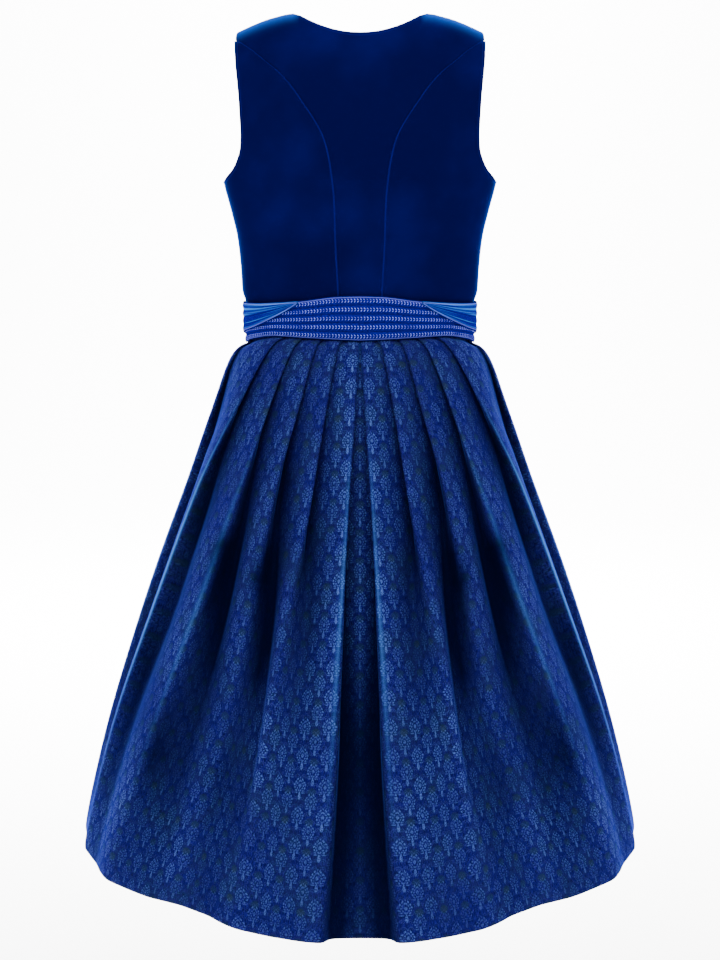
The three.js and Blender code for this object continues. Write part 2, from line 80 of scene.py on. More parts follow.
def curve(rows, value=1):
    """A smooth curve through a table's first column and the one named, with no overshoot."""
    xs = [row[0] for row in rows]
    ys = [row[value] for row in rows]
    chords = [(ys[k + 1] - ys[k]) / (xs[k + 1] - xs[k]) for k in range(len(xs) - 1)]
    slopes = [chords[0]]
    for before, after in zip(chords, chords[1:]):
        slopes.append(0 if before * after <= 0 else 2 * before * after / (before + after))
    slopes.append(chords[-1])

    def at(x):
        if x <= xs[0]:
            return ys[0]
        if x >= xs[-1]:
            return ys[-1]
        k = next(k for k in range(len(xs) - 1) if x <= xs[k + 1])
        span = xs[k + 1] - xs[k]
        t = (x - xs[k]) / span
        return ((2 * t**3 - 3 * t**2 + 1) * ys[k] + (t**3 - 2 * t**2 + t) * span * slopes[k]
                + (3 * t**2 - 2 * t**3) * ys[k + 1] + (t**3 - t**2) * span * slopes[k + 1])

    return at


def clamp(x, low=0.0, high=1.0):
    return min(max(x, low), high)


def lerp(a, b, t):
    return a + (b - a) * t


def ease(x, start, end):
    t = clamp((x - start) / (end - start))
    return t * t * (3 - 2 * t)


def finer(levels):
    """The same run of levels with each step split into equal parts."""
    parts = [k / LEVEL_PARTS for k in range(LEVEL_PARTS)]
    return [lerp(a, b, t) for a, b in zip(levels, levels[1:]) for t in parts] + [levels[-1]]


def crowded_ends(count):
    """Shares from 0 to 1 that lie closer together towards both ends, for crisp edges."""
    return [(1 - math.cos(math.pi * k / count)) / 2 for k in range(count + 1)]


half_at, back_depth_at, front_depth_at = (curve(FIGURE, column) for column in (1, 2, 3))
shoulder_at = curve(SHOULDER)
back_seam_at = curve(BACK_SEAM)
back_armhole_at = curve(BACK_ARMHOLE)
NECK_POINT_HALF, NECK_POINT_LEVEL = SHOULDER[0]
SHOULDER_TIP_HALF, SHOULDER_TIP_LEVEL = SHOULDER[-1]

# Fullness over the bust: how far out, its middle, its reach each way, and how fast it sets in
BUST_OUT, BUST_X, BUST_LEVEL = 15, 76, -246
BUST_SPREAD_X, BUST_SPREAD_Z, BUST_SETS_IN = 40, 46, 2


def shoulder_level(x):
    return shoulder_at(abs(x)) + max(0, NECK_POINT_HALF - abs(x)) * NECK_SLOPE


def on_figure(x, level, facing):
    """The cloth's place at x and a level, on the back (facing -1) or the front (facing 1)."""
    share = clamp(x / half_at(level), -1, 1)
    around = math.sqrt(max(0, 1 - share * share))
    depth = (back_depth_at if facing < 0 else front_depth_at)(level) * around
    if facing > 0:
        across = (abs(x) - BUST_X) / BUST_SPREAD_X
        up = (level - BUST_LEVEL) / BUST_SPREAD_Z
        depth += BUST_OUT * math.exp(-(across**2 + up**2) / 2) * min(1, around * BUST_SETS_IN)
    risen = clamp((level - SHOULDER_ROUND_FROM) / (shoulder_level(x) - SHOULDER_ROUND_FROM))
    return (x, facing * depth * math.sqrt(max(0, 1 - risen**SHOULDER_ROUND_POWER)), level)


def grid_normals(grid):
    """Unit normals of a grid of places whose rows run upwards and columns to the right."""
    across = np.gradient(grid, axis=1)
    up = np.gradient(grid, axis=0)
    normals = np.cross(across, up)
    return normals / np.maximum(np.linalg.norm(normals, axis=2, keepdims=True), 1e-9)


def faces_inwards(grid, probe):
    """Whether the cloth at one place of a grid faces the middle of the dress."""
    normal, place = grid_normals(grid)[probe], grid[probe]
    return normal[0] * place[0] + normal[1] * place[1] < 0


def steps_along(grid, axis):
    """Distance from a grid's first column or row to each place, along the cloth."""
    steps = np.linalg.norm(np.diff(grid, axis=axis), axis=2)
    start = np.zeros_like(np.take(steps, [0], axis=axis))
    return np.cumsum(np.concatenate([start, steps], axis=axis), axis=axis)


def lay_cloth(name, grid, cloth_uv, attributes):
    """A primitive grid whose corners are laid on the places given, with the cloth's own UV map."""
    rows, cols = grid.shape[:2]
    bpy.ops.object.select_all(action="DESELECT")
    bpy.ops.mesh.primitive_grid_add(x_subdivisions=cols - 1, y_subdivisions=rows - 1, size=2,
                                    calc_uvs=True)
    cloth = bpy.context.object
    cloth.name = cloth.data.name = name
    mesh = cloth.data
    flat = np.empty(len(mesh.vertices) * 3)
    mesh.vertices.foreach_get("co", flat)
    flat = flat.reshape(-1, 3)
    col = np.rint((flat[:, 0] + 1) / 2 * (cols - 1)).astype(int)
    row = np.rint((flat[:, 1] + 1) / 2 * (rows - 1)).astype(int)
    mesh.vertices.foreach_set("co", (grid[row, col] * MM).astype(np.float32).ravel())
    corner = np.empty(len(mesh.loops), dtype=np.int32)
    mesh.loops.foreach_get("vertex_index", corner)
    uv_map = mesh.uv_layers.active
    uv_map.name = "cloth"
    uv_map.data.foreach_set("uv", cloth_uv[row, col][corner].astype(np.float32).ravel())
    for key, values in attributes.items():
        made = mesh.attributes.new(key, "FLOAT", "POINT")
        made.data.foreach_set("value", values[row, col].astype(np.float32))
    mesh.update()
    bpy.ops.object.shade_smooth()
    return cloth


def finish_cloth(cloth, thickness, smoothing=0):
    """Gives laid cloth its thickness about its middle, and rounds it off."""
    if smoothing:
        soft = cloth.modifiers.new("soft", "SUBSURF")
        soft.levels = soft.render_levels = smoothing
        bpy.ops.object.modifier_apply(modifier=soft.name)
    wall = cloth.modifiers.new("wall", "SOLIDIFY")
    wall.thickness = thickness
    wall.offset = 0
    wall.use_even_offset = True
    wall.thickness_clamp = 1.0
    bpy.ops.object.modifier_apply(modifier=wall.name)
    bpy.ops.object.shade_smooth()


def area_of(grid):
    """Area of a grid of places in square metres."""
    a = np.cross(grid[:-1, 1:] - grid[:-1, :-1], grid[1:, :-1] - grid[:-1, :-1])
    b = np.cross(grid[1:, :-1] - grid[1:, 1:], grid[:-1, 1:] - grid[1:, 1:])
    return (np.linalg.norm(a, axis=2).sum() + np.linalg.norm(b, axis=2).sum()) / 2 * MM * MM


# Distances to a seam or an edge are counted up to this
FAR_OFF = 200.0


def near(grid, places):
    """Distance in millimetres from each place of a grid to the nearest of some places."""
    found = np.full(grid.shape[:2], FAR_OFF)
    for place in places:
        found = np.minimum(found, np.linalg.norm(grid - place, axis=2))
    return found


# How far below the shoulder line the painted sheen highlight reaches
SHOULDER_SHEEN_REACH = 9.0
# How deep the cloth is drawn in along a seam and along a turned edge, and how far from it
SEAM_DEPTH, SEAM_SPREAD = 1.1, 1.6
TURNED_DEPTH, TURNED_SPREAD = 0.9, 1.3


def velvet_panel(name, rows, free_start, free_end, free_top):
    """A velvet panel from its rows of places, with turned edges where told and seams elsewhere."""
    grid = np.array(rows, dtype=float)
    if faces_inwards(grid, (len(grid) // 3, grid.shape[1] // 2)):
        grid = grid[:, ::-1]
        free_start, free_end = free_end, free_start
    seams, edges = [], []
    for row in grid:
        (edges if free_start(row[0]) else seams).append(row[0])
        (edges if free_end(row[-1]) else seams).append(row[-1])
    for place in grid[-1]:
        (edges if free_top(place) else seams).append(place)
    seam, edge = near(grid, seams), near(grid, edges)
    sunk = np.maximum(SEAM_DEPTH * np.exp(-((seam / SEAM_SPREAD) ** 2)),
                      TURNED_DEPTH * np.exp(-((edge / TURNED_SPREAD) ** 2)))
    laid = grid - grid_normals(grid) * sunk[:, :, None]
    cloth_uv = np.stack([steps_along(grid, 1), steps_along(grid, 0)], axis=2) * MM
    # Painted sheen highlight: strongest on the shoulder line and fading below it
    below_shoulder = np.vectorize(shoulder_level)(grid[:, :, 0]) - grid[:, :, 2]
    over_shoulder = np.abs(grid[:, :, 0]) > NECK_POINT_HALF - SHOULDER_SHEEN_REACH / 2
    shoulder_sheen = np.exp(-((np.maximum(below_shoulder, 0) / SHOULDER_SHEEN_REACH) ** 2)) * over_shoulder
    panel = lay_cloth(name, laid, cloth_uv, {"seam": seam, "edge": edge, "shoulder": shoulder_sheen})
    finish_cloth(panel, VELVET_THICK)
    panel.data.materials.append(velvet)
    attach(panel, "root")
    area_of(grid)
    return panel


class Value:
    """A shader socket that adds, subtracts, multiplies and divides as a number does."""

    def __init__(self, finish, socket):
        self.finish, self.socket = finish, socket

    def math(self, operation, *others):
        sockets = dict(enumerate((self, *others)))
        return self.finish.node("ShaderNodeMath", {"operation": operation}, sockets)

    def __add__(self, other):
        return self.math("ADD", other)

    def __mul__(self, other):
        return self.math("MULTIPLY", other)

    def __sub__(self, other):
        return self.math("SUBTRACT", other)

    def __rsub__(self, other):
        return self * -1 + other

    def __truediv__(self, other):
        return self.math("DIVIDE", other)

    def __abs__(self):
        return self.math("ABSOLUTE")

    __radd__, __rmul__ = __add__, __mul__

    def rise(self, start, end):
        """0 before start and 1 after end, with a soft step between them."""
        return self.finish.node("ShaderNodeMapRange", {"interpolation_type": "SMOOTHSTEP"},
                                {"Value": self, "From Min": start, "From Max": end})

    def band(self, centre, width, soft):
        """1 within a width about a centre, and 0 beyond it."""
        return 1 - abs(self - centre).rise(width / 2 - soft, width / 2 + soft)


# Sockets of the colour mix, whose names are also those of the number mix
MIX_START, MIX_END, MIX_RESULT = 6, 7, 2


class Finish:
    """A material under construction: one principled shader and the nodes that feed it."""

    def __init__(self, name):
        self.material = bpy.data.materials.new(name)
        self.material.use_nodes = True
        self.tree = self.material.node_tree
        self.shader = self.tree.nodes["Principled BSDF"]

    def node(self, kind, settings=None, sockets=None, out=0):
        made = self.tree.nodes.new(kind)
        for key, value in (settings or {}).items():
            setattr(made, key, value)
        for key, value in (sockets or {}).items():
            self.feed(made.inputs[key], value)
        return Value(self, made.outputs[out])

    def feed(self, socket, value):
        if isinstance(value, Value):
            self.tree.links.new(value.socket, socket)
        else:
            socket.default_value = value

    def set(self, **sockets):
        for key, value in sockets.items():
            self.feed(self.shader.inputs[key.replace("_", " ")], value)

    def mix(self, share, start, end):
        """The start colour where the share is 0 and the end colour where it is 1."""
        sockets = {"Factor": share, MIX_START: start, MIX_END: end}
        return self.node("ShaderNodeMix", {"data_type": "RGBA"}, sockets, MIX_RESULT)

    def across_and_along(self):
        """The cloth's own two coordinates, in metres, from its UV map."""
        uv = self.node("ShaderNodeUVMap", {"uv_map": "cloth"})
        split = self.node("ShaderNodeSeparateXYZ", {}, {"Vector": uv})
        return split, Value(self, split.socket.node.outputs["Y"])

    def attribute(self, name):
        return self.node("ShaderNodeAttribute", {"attribute_name": name}, out="Fac")

    def noise(self, place, scale, detail=2.0, roughness=0.5):
        sockets = {"Vector": place, "Scale": scale, "Detail": detail, "Roughness": roughness}
        return self.node("ShaderNodeTexNoise", {}, sockets)

    def place(self, x, y, z=0.0):
        return self.node("ShaderNodeCombineXYZ", {}, {0: x, 1: y, 2: z})

    def bump(self, height, distance, strength):
        sockets = {"Height": height, "Distance": distance, "Strength": strength}
        return self.node("ShaderNodeBump", {}, sockets)


# Colours of the pile seen straight on, stroked the other way, along the stitched lines, and of the
# painted sheen highlight along the shoulders and the turned edges
VELVET_DEEP = (0.0006, 0.0003, 0.029, 1)
VELVET_STROKED = (0.0010, 0.0005, 0.062, 1)
VELVET_SEAM = (0.0040, 0.0035, 0.110, 1)
VELVET_PAINTED_SHEEN = (0.0100, 0.0800, 0.400, 1)
# Noise scales of the stroked patches and of the pile
STROKES, PILE = 7.0, 900.0
# In millimetres: a seam's light line, the painted highlight rim of a turned edge, how far in the
# topstitching runs, the widths of its colour and of the groove that it draws in
SEAM_LINE, EDGE_RIM = (0.4, 1.8), (0.4, 2.6)
TOPSTITCH_IN, STITCH_WIDE, GROOVE_WIDE = 5.0, 1.2, 1.4
# How much the seam's line, the topstitching, the stroked patches and the painted highlight rim show
SEAM_SHOWS, TOPSTITCH_SHOWS, STROKES_SHOW, RIM_SHOWS = 0.75, 0.3, 0.8, 0.35

velvet_finish = Finish("velvet")
cloth_place = velvet_finish.node("ShaderNodeTexCoord", out="Object")
stroked = velvet_finish.noise(cloth_place, STROKES, 3.0).rise(0.42, 0.72)
pile = velvet_finish.noise(cloth_place, PILE)
seam_distance = velvet_finish.attribute("seam")
edge_distance = velvet_finish.attribute("edge")
topstitch = edge_distance.band(TOPSTITCH_IN, STITCH_WIDE, 0.5)
groove = edge_distance.band(TOPSTITCH_IN, GROOVE_WIDE, 0.6)
sewn = (1 - seam_distance.rise(*SEAM_LINE)) * SEAM_SHOWS + topstitch * TOPSTITCH_SHOWS
# Painted sheen highlight: lighter blue along the tops of the shoulders and along the turned edges
painted_shoulder_sheen = velvet_finish.attribute("shoulder") * (0.35 + pile * 0.3)
painted_sheen = painted_shoulder_sheen.math("MAXIMUM", (1 - edge_distance.rise(*EDGE_RIM)) * RIM_SHOWS)
velvet_colour = velvet_finish.mix(stroked * STROKES_SHOW, VELVET_DEEP, VELVET_STROKED)
velvet_colour = velvet_finish.mix(painted_sheen, velvet_colour, VELVET_PAINTED_SHEEN)
velvet_finish.set(
    Base_Color=velvet_finish.mix(sewn, velvet_colour, VELVET_SEAM),
    Roughness=0.85,
    Sheen_Weight=0.70,
    Sheen_Roughness=0.21,
    Sheen_Tint=(0.03, 0.17, 1.0, 1),
    Specular_IOR_Level=0.0,
    Normal=velvet_finish.bump(pile * 0.25 + groove * -1.0, 0.0003, 0.5),
)
velvet = velvet_finish.material


def back_edge_x(level):
    armhole = half_at(level) * math.sin(math.radians(back_armhole_at(level)))
    return min(armhole, SHOULDER_TIP_HALF) if level > BACK_SEAM[-1][0] else back_seam_at(level)


def back_top_level(x):
    if abs(x) >= NECK_POINT_HALF:
        return shoulder_level(x)
    return NECK_POINT_LEVEL - BACK_NECK_DROP * (1 - (x / NECK_POINT_HALF) ** 2)


# Half the gap along the shoulder seam, how far inside the neck point it starts, and how far above
# the princess seam's end the armhole's edge counts as free
SHOULDER_SEAM_HALF = 0.15
SEAM_INSIDE_NECK = 3
ABOVE_SEAM_END = 2

back_rows = []
for level in finer(BODICE_LEVELS):
    lifted = clamp((level - SHOULDER_ROUND_FROM) / (SHOULDER_TIP_LEVEL - SHOULDER_ROUND_FROM)) ** 2
    edge_x = back_edge_x(level)
    row = []
    for share in crowded_ends(BACK_COLUMNS):
        side = 2 * share - 1
        rise = (back_top_level(side * SHOULDER_TIP_HALF) - SHOULDER_TIP_LEVEL) * lifted
        x, y, z = on_figure(edge_x * side, level + rise, -1)
        at_seam = level == BODICE_LEVELS[-1] and abs(x) > NECK_POINT_HALF - SEAM_INSIDE_NECK
        row.append((x, -SHOULDER_SEAM_HALF if at_seam else y, z))
    back_rows.append(row)


def above_back_seam(place):
    return place[2] > BACK_SEAM[-1][0] + ABOVE_SEAM_END


def on_neckline(place):
    return abs(place[0]) < NECK_POINT_HALF


bodice_back = velvet_panel(
    "bodice_back_cloth", back_rows, above_back_seam, above_back_seam, on_neckline)
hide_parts("bodice_back")


# Side backs: a velvet panel on each side, from the princess seam to the side seam under the arm.
# The long curved seam takes in the shoulder blades and the waist, and the armhole edge is turned.

SIDES = (("left", -1), ("right", 1))
SIDE_BACK_TOP, SIDE_BACK_COLUMNS = -22, 32
# The last step up to a side panel's pointed end, and how far above the underarm its edge is free
TIP_RUN = 0.8
ABOVE_UNDERARM = 1


def side_rows(side, facing, seam_at, armhole_at, top_level, columns):
    """Rows of a side panel, from the princess seam to the side seam or the armhole."""
    levels = [level for level in BODICE_LEVELS if level < top_level]
    rows = []
    for level in finer(levels + [top_level, top_level + TIP_RUN]):
        half = half_at(level)
        inner = math.degrees(math.asin(seam_at(level) / half))
        outer = armhole_at(level) if level > UNDERARM else 90
        row = []
        for share in crowded_ends(columns):
            x = half * math.sin(math.radians(lerp(inner, outer, share)))
            x, y, z = on_figure(x, level, facing)
            row.append((x * side, y, z))
        rows.append(row)
    return rows


def above_underarm(place):
    return place[2] > UNDERARM + ABOVE_UNDERARM


def never(place):
    return False


for name, side in SIDES:
    rows = side_rows(side, -1, back_seam_at, back_armhole_at, SIDE_BACK_TOP, SIDE_BACK_COLUMNS)
    panel = velvet_panel(f"bodice_side_back_{name}_cloth", rows, never, above_underarm, never)
    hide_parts(f"bodice_side_back_{name}")


# Side fronts: a velvet panel on each side, from the side seam to the front princess seam, where it
# is eased over the bust.

SIDE_FRONT_TOP, SIDE_FRONT_COLUMNS = -113, 28
# level, half width between the front princess seams
FRONT_SEAM = [(-370, 52), (-310, 62), (-246, 76), (-190, 92), (-150, 110), (-110, 129)]
# level, angle round the figure from the centre front to the armhole
FRONT_ARMHOLE = [
    (-191, 90), (-186, 76), (-175, 61), (-160, 53), (-140, 48.5), (-110, 47), (-60, 49), (-11, 55.8),
]
front_seam_at = curve(FRONT_SEAM)
front_armhole_at = curve(FRONT_ARMHOLE)

for name, side in SIDES:
    rows = side_rows(side, 1, front_seam_at, front_armhole_at, SIDE_FRONT_TOP, SIDE_FRONT_COLUMNS)
    panel = velvet_panel(f"bodice_side_front_{name}_cloth", rows, never, above_underarm, never)
    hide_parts(f"bodice_side_front_{name}")


# Fronts: a velvet panel on each side of the centre front, which closes edge to edge over hidden
# hooks and eyes. Each carries half of the scooped neckline and a shoulder end.

FRONT_NECK_LEVEL = -160
# level, half width of the front neckline
FRONT_NECK = [(-160, 0), (-157, 22), (-146, 41), (-122, 57), (-80, 68), (-30, 74), (12, 77.5)]
# Where the front's levels start to follow the neckline
NECK_ROWS_FROM = -168
FRONT_LEVELS = [level for level in BODICE_LEVELS if level < NECK_ROWS_FROM] + [
    -162, -160, -158, -154, -147, -138, -126, -110, -92, -72, -50, -32, -22, -16, -13, -11.5, -11,
]
FRONT_COLUMNS = 32
# How late the shoulder line's bow comes into the rows below it
BOW_POWER = 4
front_neck_at = curve(FRONT_NECK)


def on_front_neckline(place):
    return place[2] > FRONT_NECK_LEVEL


def above_front_seam(place):
    return place[2] > FRONT_SEAM[-1][0]


for name, side in SIDES:
    rows = []
    for level in finer(FRONT_LEVELS):
        armhole = half_at(level) * math.sin(math.radians(front_armhole_at(level)))
        outer = min(armhole, SHOULDER_TIP_HALF) if level > FRONT_SEAM[-1][0] else front_seam_at(level)
        rise = clamp((level - FRONT_NECK_LEVEL) / (SHOULDER_TIP_LEVEL - FRONT_NECK_LEVEL))
        inner_level = level + rise * (NECK_POINT_LEVEL - SHOULDER_TIP_LEVEL)
        inner = front_neck_at(inner_level) if level > FRONT_NECK_LEVEL else 0
        row = []
        for share in crowded_ends(FRONT_COLUMNS):
            x = lerp(inner, outer, share)
            straight = lerp(NECK_POINT_LEVEL, SHOULDER_TIP_LEVEL, share)
            bow = shoulder_at(max(x, NECK_POINT_HALF)) - straight
            x, y, z = on_figure(x, lerp(inner_level, level, share) + bow * rise**BOW_POWER, 1)
            row.append((x * side, SHOULDER_SEAM_HALF if level == FRONT_LEVELS[-1] else y, z))
        rows.append(row)
    panel = velvet_panel(
        f"bodice_front_{name}_cloth", rows, on_front_neckline, above_front_seam, never)
    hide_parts(f"bodice_front_{name}")


# Skirt: two widths of figured jacquard, back and front, joined at the sides. The cloth is laid in
# pressed pleats at the waist seam, whose edges face the centre, and opens into soft folds below.

JACQUARD_THICK = 1.1 * MM
# How thick a fold's turn is, how many degrees an open fold's turns take up, and by how many
# degrees an edge has to lie over its fold for the pleat to be closed
FOLD_TURN = 1.7
OPEN_TURN_VALLEY, OPEN_TURN_RIDGE = 1.3, 0.7
CLOSED_OVERLAP = 2.5
# How much the middle of the centre strip stands out, as a share of the centre fold's depth
CENTRE_HUMP = 0.15
# Where a panel starts and ends between its own edge and the next fold, when both are open, and how
# much of its fall it has made at its start, midway and at its end, with that pleat closed and open
PANEL_START, PANEL_END, SIDE_PANEL_END = 0.3, 0.3, 0.4
FALL_START, FALL_MIDWAY, FALL_END = (0, 0.12), (0.5, 0.27), (1, 0.5)
# The angle that the last panel runs to, just before the side seam
SIDE_SEAM_FROM = 89
# How far the hem is turned in, and the distance below the sash where that starts
HEM_ROLL, HEM_ROLL_FROM = 1.6, 643

# distance below the sash's lower edge, half width, depth
SKIRT = [
    (-24, 138, 88), (2, 138.2, 88.2), (6, 148, 96), (11, 154, 104), (22, 161, 116),
    (42, 168.5, 134), (67, 176, 146), (118, 192, 169), (169, 207.5, 187), (273, 244, 226),
    (377, 279.5, 265), (484, 313.5, 301), (592, 341, 330), (650, 353, 341),
]
SKIRT_LENGTH = SKIRT[-1][0]
WAIST_BELOW = -10
# angle from the centre back, level of the sash's lower edge
SASH_LOWER = [(0, -379.5), (22, -377.6), (46, -376), (67, -381), (90, -388.5), (180, -390)]
# angle from the centre, level of the hem
HEM = [(0, -1036), (8, -1038), (22, -1033), (37, -1023), (54, -1029), (66, -1025), (90, -1016)]
STATIONS = (0, 80, 180, 300, 450, 650)
# Angles of each pleat's edge (ridge) and of the fold under it (valley) at the stations above, and
# how far they stand out and in.
BACK_PLEATS = [
    dict(ridge=(0.5, 1.8, 3.3, 4.2, 5.0, 7.1), valley=(5.6, 6.4, 6.2, 5.2, 4.0, 5.0),
         rise=(1.7, 4, 8, 10, 11, 11), drop=(1.7, 6, 13, 18, 20, 15)),
    dict(ridge=(9.7, 12.8, 15.2, 18.2, 19.9, 21.5), valley=(15.6, 17.2, 17.0, 14.8, 14.0, 15.0),
         rise=(1.7, 4, 8, 9, 9, 8), drop=(1.7, 6, 11, 10, -3, -7)),
    dict(ridge=(19.7, 23.6, 27.7, 28.7, 31.0, 38.5), valley=(25.8, 27.6, 28.6, 25.6, 24.6, 31.5),
         rise=(1.7, 4, 8, 9, 1, -7), drop=(1.7, 6, 13, 17, 11, 7)),
    dict(ridge=(30.4, 36.2, 40.6, 44.2, 51.0, 59.0), valley=(36.6, 40.2, 41.6, 41.6, 43.4, 46.0),
         rise=(1.7, 4, 8, 11, 9, 6), drop=(1.7, 6, 13, 19, 16, 6)),
    dict(ridge=(42.2, 53.0, 64.2, 68.0, 72.5, 75.0), valley=(49.6, 57.4, 64.4, 64.4, 67.0, 69.0),
         rise=(1.7, 4, 8, 9, 8, 6), drop=(1.7, 6, 12, 12, 6, 0)),
    dict(ridge=(77.0, 80.0, 81.2, 82.6, 84.4, 85.8), valley=(83.4, 83.4, 79.8, 78.6, 80.2, 81.4),
         rise=(1.7, 4, 7, 8, 6, 4), drop=(1.7, 6, 10, 11, 5, 0)),
]
FRONT_PLEATS = [
    dict(ridge=(0.5, 1.6, 3.0, 4.6, 6.2, 8.4), valley=(5.6, 6.4, 6.0, 5.4, 4.8, 6.0),
         rise=(1.7, 4, 8, 10, 10, 10), drop=(1.7, 6, 13, 18, 19, 14)),
    dict(ridge=(9.9, 13.2, 16.4, 18.8, 20.4, 23.5), valley=(15.8, 17.6, 17.6, 16.2, 16.0, 17.5),
         rise=(1.7, 4, 8, 9, 9, 7), drop=(1.7, 6, 12, 11, 2, -4)),
    dict(ridge=(20.1, 25.0, 29.6, 31.8, 34.6, 40.0), valley=(26.0, 29.0, 30.6, 28.4, 28.0, 33.0),
         rise=(1.7, 4, 8, 9, 4, -4), drop=(1.7, 6, 13, 16, 11, 7)),
    dict(ridge=(31.0, 37.6, 43.0, 47.0, 51.8, 58.0), valley=(37.0, 41.4, 44.0, 43.2, 44.6, 48.0),
         rise=(1.7, 4, 8, 10, 8, 6), drop=(1.7, 6, 13, 16, 12, 5)),
    dict(ridge=(43.0, 53.4, 62.0, 66.2, 70.5, 73.5), valley=(50.0, 57.6, 62.4, 62.4, 64.4, 67.0),
         rise=(1.7, 4, 8, 9, 9, 6), drop=(1.7, 6, 12, 14, 8, 2)),
    dict(ridge=(77.0, 79.4, 80.6, 82.0, 83.6, 85.4), valley=(83.4, 82.8, 79.2, 78.0, 79.4, 80.8),
         rise=(1.7, 4, 7, 8, 6, 4), drop=(1.7, 6, 10, 11, 6, 1)),
]
# How dark the cloth falls beside each pleat's edge at the stations above, from the centre outwards,
# and on the strip between the two pleats that meet at the centre
PLEAT_SHADE = [
    (0.55, 0.60, 0.70, 0.90, 1.0, 0.95), (0.60, 0.85, 0.90, 0.70, 0.35, 0.12),
    (0.60, 0.85, 0.95, 0.80, 0.55, 0.28), (0.60, 0.85, 0.95, 0.80, 0.78, 0.34),
    (0.60, 0.90, 0.95, 0.80, 0.85, 0.30), (0.60, 0.85, 0.80, 0.75, 0.60, 0.30),
]
CENTRE_SHADE = (0.20, 0.20, 0.22, 0.32, 0.95, 0.55)
# The least shade inside the centre pleat, and the shares of a fold's shade on the turn of its edge
# and on the panel that runs into it: at its start, between and at its end
CENTRE_PLEAT_SHADE = 0.9
TURN_SHADE = 0.7
PANEL_SHADES = (0.10, 0.36, 0.70)
# Soft creases where the pressed edges let go and between them: angle, distance below the sash,
# how far each reaches round and down, how deep it goes in and how dark it falls
CREASES = [
    (44.0, 250, 2.6, 24, 3.0, 1.0), (28.5, 268, 2.4, 26, 3.0, 1.0), (42.0, 320, 3.0, 50, 1.5, 0.6),
    (26.0, 345, 2.6, 55, 1.5, 0.5), (20.5, 215, 2.2, 45, 1.5, 0.45), (24.5, 165, 2.0, 30, 1.0, 0.35),
    (35.0, 380, 3.2, 45, 2.0, 0.35), (55.0, 330, 3.0, 40, 2.0, 0.35), (53.0, 470, 3.5, 60, 1.5, 0.5),
    (61.0, 215, 3.0, 35, 1.5, 0.4), (33.0, 490, 4.0, 70, 1.5, 0.4), (70.0, 380, 3.0, 60, 1.0, 0.3),
]
# Where a painted highlight brightens the woven figures: angle, distance below the sash, reaches,
# strength
SHINE = [
    (4, 60, 8, 170, 0.6), (2, 350, 3.5, 150, 0.9), (9, 330, 4, 170, 0.6), (17, 470, 6, 80, 0.8),
    (43, 560, 9, 70, 0.6), (10, 560, 4, 90, 0.7), (30, 235, 4, 60, 0.5), (24, 420, 3, 60, 0.4),
    (76, 90, 9, 80, 0.3), (64, 590, 8, 50, 0.4), (52, 300, 3, 70, 0.3),
]
# How much painted highlight each pleat's edge gets, from the centre outwards, and at the stations
RIDGE_GLOW = (0.62, 0.30, 0.25, 0.55, 1.0, 0.60)
RIDGE_ALONG = (0.1, 0.4, 0.8, 1.0, 0.7, 0.2)
# Distances of the laid rings below the sash's lower edge
SKIRT_RINGS = [
    650, 645, 628, 600, 565, 528, 488, 448, 410, 374, 340, 306, 274, 243, 214, 187, 162, 138, 116,
    96, 78, 62, 48, 36, 26, 18, 12, 8.5, 6, 4, 2, -2, -6, -10,
]

skirt_half_at, skirt_depth_at = curve(SKIRT, 1), curve(SKIRT, 2)
sash_lower_at = curve(SASH_LOWER)
hem_at = curve(HEM)


def skirt_base(angle, below, facing):
    turn = math.radians(angle)
    edge = sash_lower_at(abs(angle) if facing < 0 else 180 - abs(angle))
    if below < 0:
        level = edge + (WAIST - edge) * (below / WAIST_BELOW)
    else:
        level = edge - (below / SKIRT_LENGTH) * (edge - hem_at(abs(angle)))
    x, y = skirt_half_at(below) * math.sin(turn), -skirt_depth_at(below) * math.cos(turn)
    return np.array((x, y, level))


def marks_at(marks, angle, below, value):
    """The sum at a place of soft round marks, each with its middle, reaches and values."""
    total = 0.0
    for mark in marks:
        away = ((angle - mark[0]) / mark[2]) ** 2 + ((below - mark[1]) / mark[3]) ** 2
        total += mark[value] * math.exp(-away)
    return total


# Columns of the marks: how deep and how dark a crease is, and how strong a shine is
CREASE_DEPTH, CREASE_SHADE, SHINE_STRENGTH = 4, 5, 4
# Degrees and millimetres each way that the cloth's slope is taken over
SLOPE_STEP = 0.5


def skirt_place(angle, below, out, facing):
    """A place of the cloth, a distance out from the skirt's shape, with its crease pressed in."""
    out -= marks_at(CREASES, abs(angle), below, CREASE_DEPTH)
    right = skirt_base(angle + SLOPE_STEP, below, facing)
    left = skirt_base(angle - SLOPE_STEP, below, facing)
    higher = skirt_base(angle, max(below - SLOPE_STEP, WAIST_BELOW), facing)
    lower = skirt_base(angle, min(below + SLOPE_STEP, SKIRT_LENGTH), facing)
    normal = np.cross(right - left, higher - lower)
    return skirt_base(angle, below, facing) + normal / np.linalg.norm(normal) * out


def at_stations(values, below):
    """A row of values at the stations, read at a distance below the sash."""
    return curve(list(zip(STATIONS, values)))(max(0, below))


